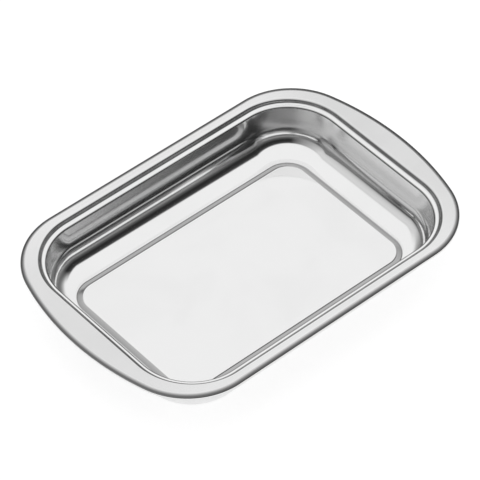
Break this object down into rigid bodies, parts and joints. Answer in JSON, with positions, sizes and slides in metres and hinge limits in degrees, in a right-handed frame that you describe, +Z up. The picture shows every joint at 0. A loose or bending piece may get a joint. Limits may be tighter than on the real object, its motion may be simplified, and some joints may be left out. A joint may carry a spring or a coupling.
{
  "type": "rectangular cake pan",
  "caption": "Rectangular steel cake pan with upright walls rounded into the floor, a raised floor panel, a cover ledge and a wired flange bowed out at the ends for gripping; holds batter in the oven.",
  "frame": {"origin": "on the surface the pan stands on, under the middle of the pan", "axes": "+X along the pan's length towards one end grip, +Y across it, +Z up out of the opening"},
  "size_m": [0.3814, 0.2522, 0.0515],
  "materials": {
    "pan_steel": "bright drawn basin with a satin flange",
    "wire_steel": "plain drawn wire"
  },
  "bodies": {
    "root": {"pan_body": "pan_steel", "rim_wire": "wire_steel"}
  },
  "joints": []
}
